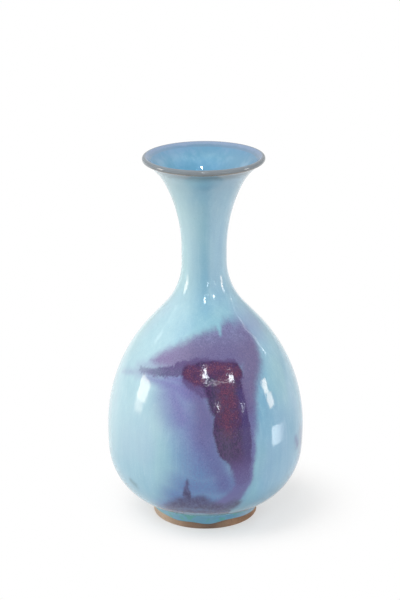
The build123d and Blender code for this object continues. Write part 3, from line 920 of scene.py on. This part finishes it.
def make_foot():
    """The turned ring, softened at its edges and a little rough."""
    bm = bmesh.new()
    foot_inner = foot_radius - foot_width
    line = Outline(bm, (foot_inner, 0, 0), 0)
    line.go_to((foot_radius, 0, 0))
    line.go_to((foot_radius - foot_flare, 0, foot_height))
    line.go_to((foot_inner - foot_bore_flare, 0, foot_height - foot_bore_drop))
    line.close()
    on_table = [v for v in bm.verts if v.co.z < foot_edge]
    bmesh.ops.bevel(bm, geom=on_table, offset=foot_edge, offset_type="OFFSET", segments=4, profile=0.5,
                    affect="VERTICES", material=-1)
    long_edges = [e for e in bm.edges if e.calc_length() > long_edge]
    bmesh.ops.subdivide_edges(bm, edges=long_edges, cuts=9)
    spin_round(bm)
    for v in bm.verts:
        rough = noise.noise(v.co * grit_scale) * grit_relief + noise.noise(v.co * wave_scale) * wave_relief
        v.co += Vector((v.co.x, v.co.y, 0)).normalized() * rough
        v.co.z = max(0.0, v.co.z)
    make_piece("turned_foot", bm, foot_clay, ("foot_ring",))


make_outer_coat()
make_lip_coat()
make_neck_clay()
make_inside_coat()
make_foot()

# The clay and slip between the coats keep their shape and take a finish
finishes = {"lower_body": body_clay, "upper_body": body_clay, "belly_luting": joining_slip,
            "neck_luting": joining_slip, "foot_luting": joining_slip}
for name, finish in finishes.items():
    nodes[name].data.materials.clear()
    nodes[name].data.materials.append(finish)

# ---- Floor: it takes the pot's shadow and reflection, and shines white farther off ----
floor_reach = 6.0
shadow_middle = (0.020, 0.014, 0)
bm = bmesh.new()
bmesh.ops.create_grid(bm, x_segments=2, y_segments=2, size=floor_reach)
mesh = bpy.data.meshes.new("studio_floor")
bm.to_mesh(mesh)
bm.free()
floor = bpy.data.objects.new("studio_floor", mesh)
bpy.context.scene.collection.objects.link(floor)
floor_finish, tree, shader, coords = new_material("studio_floor")
shader.inputs["Base Color"].default_value = (0.90, 0.865, 0.838, 1)
shader.inputs["Roughness"].default_value = 0.5
shader.inputs["Specular IOR Level"].default_value = 0.2
away = vector_calc(tree, "LENGTH", vector_calc(tree, "SUBTRACT", coords, shadow_middle))
path = add(tree, "ShaderNodeLightPath")
seen = calc(tree, "MAXIMUM", path.outputs["Is Camera Ray"], path.outputs["Is Glossy Ray"])
seen = calc(tree, "MAXIMUM", seen, path.outputs["Is Transmission Ray"])
glow = add(tree, "ShaderNodeEmission", {"Color": (1, 1, 1, 1), "Strength": 1.0})
white_part = both(tree, seen, ramp(tree, away, 0.045, 0.118, 0.46, 1.0))
mixed = add(tree, "ShaderNodeMixShader", {0: white_part, 1: shader.outputs[0], 2: glow.outputs[0]})
tree.links.new(mixed.outputs[0], tree.nodes["Material Output"].inputs["Surface"])
mesh.materials.append(floor_finish)

# ---- World: white behind the pot, a soft tent in its glaze, dimmer light on its body ----
tent_strength = 0.62
body_strength = 0.45
world = bpy.data.worlds.new("studio")
bpy.context.scene.world = world
world.use_nodes = True
tree = world.node_tree
soft = tree.nodes["Background"]
soft.inputs["Color"].default_value = (1, 1, 1, 1)
soft.inputs["Strength"].default_value = body_strength
white = add(tree, "ShaderNodeBackground", {"Color": (1, 1, 1, 1), "Strength": 1.0})
path = add(tree, "ShaderNodeLightPath")
seen = calc(tree, "MAXIMUM", path.outputs["Is Camera Ray"], path.outputs["Is Transmission Ray"])
tent = add(tree, "ShaderNodeBackground", {"Color": (1, 1, 1, 1), "Strength": tent_strength})
lit = add(tree, "ShaderNodeMixShader",
          {0: path.outputs["Is Glossy Ray"], 1: soft.outputs[0], 2: tent.outputs[0]})
mixed = add(tree, "ShaderNodeMixShader", {0: seen, 1: lit.outputs[0], 2: white.outputs[0]})
tree.links.new(mixed.outputs[0], tree.nodes["World Output"].inputs["Surface"])

# ---- Lamps ----
belly = Vector((0, 0, 0.12))
under_belly = Vector((0, 0, 0.088))
throat_glint = Vector((0, 0.026, 0.2685))
lip_left = Vector((-0.033, -0.033, 0.2885))
lip_right = Vector((0.033, -0.033, 0.2885))


def lamp(name, azimuth, elevation, distance, size, radiance, in_glaze=True, on_body=True, spread=180,
         aim=belly, tint=(1, 1, 1)):
    """A soft box; azimuth 0 is in front and 90 to the right, both angles seen from what it aims at."""
    a, e = radians(azimuth), radians(elevation)
    way = Vector((sin(a) * cos(e), -cos(a) * cos(e), sin(e)))
    data = bpy.data.lights.new(name, "AREA")
    data.shape = "RECTANGLE"
    data.size, data.size_y = size
    data.energy = radiance * pi * size[0] * size[1]
    data.spread = radians(spread)
    data.color = tint
    made = bpy.data.objects.new(name, data)
    bpy.context.scene.collection.objects.link(made)
    made.location = aim + way * distance
    made.rotation_euler = way.to_track_quat("Z", "Y").to_euler()
    made.visible_camera = False
    made.visible_glossy = in_glaze
    made.visible_diffuse = on_body


# Windows and small lamps that show in the glaze
daylight = (1.0, 0.80, 0.64)
skylight = (0.86, 0.94, 1.0)
room = 1.5  # from the belly to a window
near = 0.5  # from the lip to a lamp
beam = 16
lamp("left_window", -85.5, 10.5, room, (0.42, 0.32), 7.2, on_body=False, tint=daylight)
lamp("left_window_foot", -86.2, 1.5, room, (0.30, 0.20), 4.0, on_body=False, tint=daylight)
lamp("right_window", 83.0, 13, room, (0.22, 0.21), 11.0, on_body=False, tint=daylight)
lamp("right_window_foot", 85.5, 4.5, room, (0.22, 0.20), 8.5, on_body=False, tint=daylight)
lamp("right_card", 82.5, -12, 0.265, (0.092, 0.048), 0.38, on_body=False, spread=46, aim=under_belly)
lamp("front_lamp", -0.5, 38.5, room, (0.12, 0.22), 26.0, tint=skylight)
lamp("front_right_lamp", 38, 32, room, (0.14, 0.15), 26.0, tint=skylight)
lamp("front_sill", 17, 31.5, room, (0.95, 0.025), 8.0)
lamp("front_gap", 15, 15, room, (0.022, 0.15), 45.0, tint=skylight)
lamp("side_gap", 46.5, 11, room, (0.018, 0.13), 45.0, tint=skylight)
lamp("left_seam", -109, 32, room, (0.16, 0.20), 1.6)
lamp("right_seam", 110, 30, room, (0.035, 0.60), 3.4)
lamp("right_seam_end", 109.8, 21.5, room, (0.025, 0.12), 9.0)
lamp("mouth_lamp", 7, 57, near, (0.020, 0.034), 1.0, on_body=False, spread=beam, aim=throat_glint)
lamp("lip_lamp", -87, 11, near, (0.20, 0.12), 0.12, on_body=False, spread=beam, aim=lip_left)
lamp("lip_side_lamp", 88, 11, near, (0.24, 0.12), 0.16, on_body=False, spread=beam, aim=lip_right)

# Soft light on the body
lamp("left_light", -87, 7, room, (0.60, 0.60), 5.0, in_glaze=False)
lamp("overhead", -70, 62, 1.4, (1.1, 1.1), 3.7, in_glaze=False)
lamp("right_wall", 82, 45, 1.6, (1.0, 1.0), 2.6, in_glaze=False)

# ---- Camera ----
camera_distance = 1.5061
camera_height = 0.6768
camera_pitch = 18.436
camera_turn = 0.1575
camera_data = bpy.data.cameras.new("camera")
camera_data.lens = 123.38
camera_data.sensor_width = 36.0
camera = bpy.data.objects.new("camera", camera_data)
bpy.context.scene.collection.objects.link(camera)
camera.location = (0, -camera_distance, camera_height)
camera.rotation_euler = (radians(90 - camera_pitch), 0, radians(camera_turn))
bpy.context.scene.camera = camera
bpy.context.scene.view_settings.view_transform = "Standard"
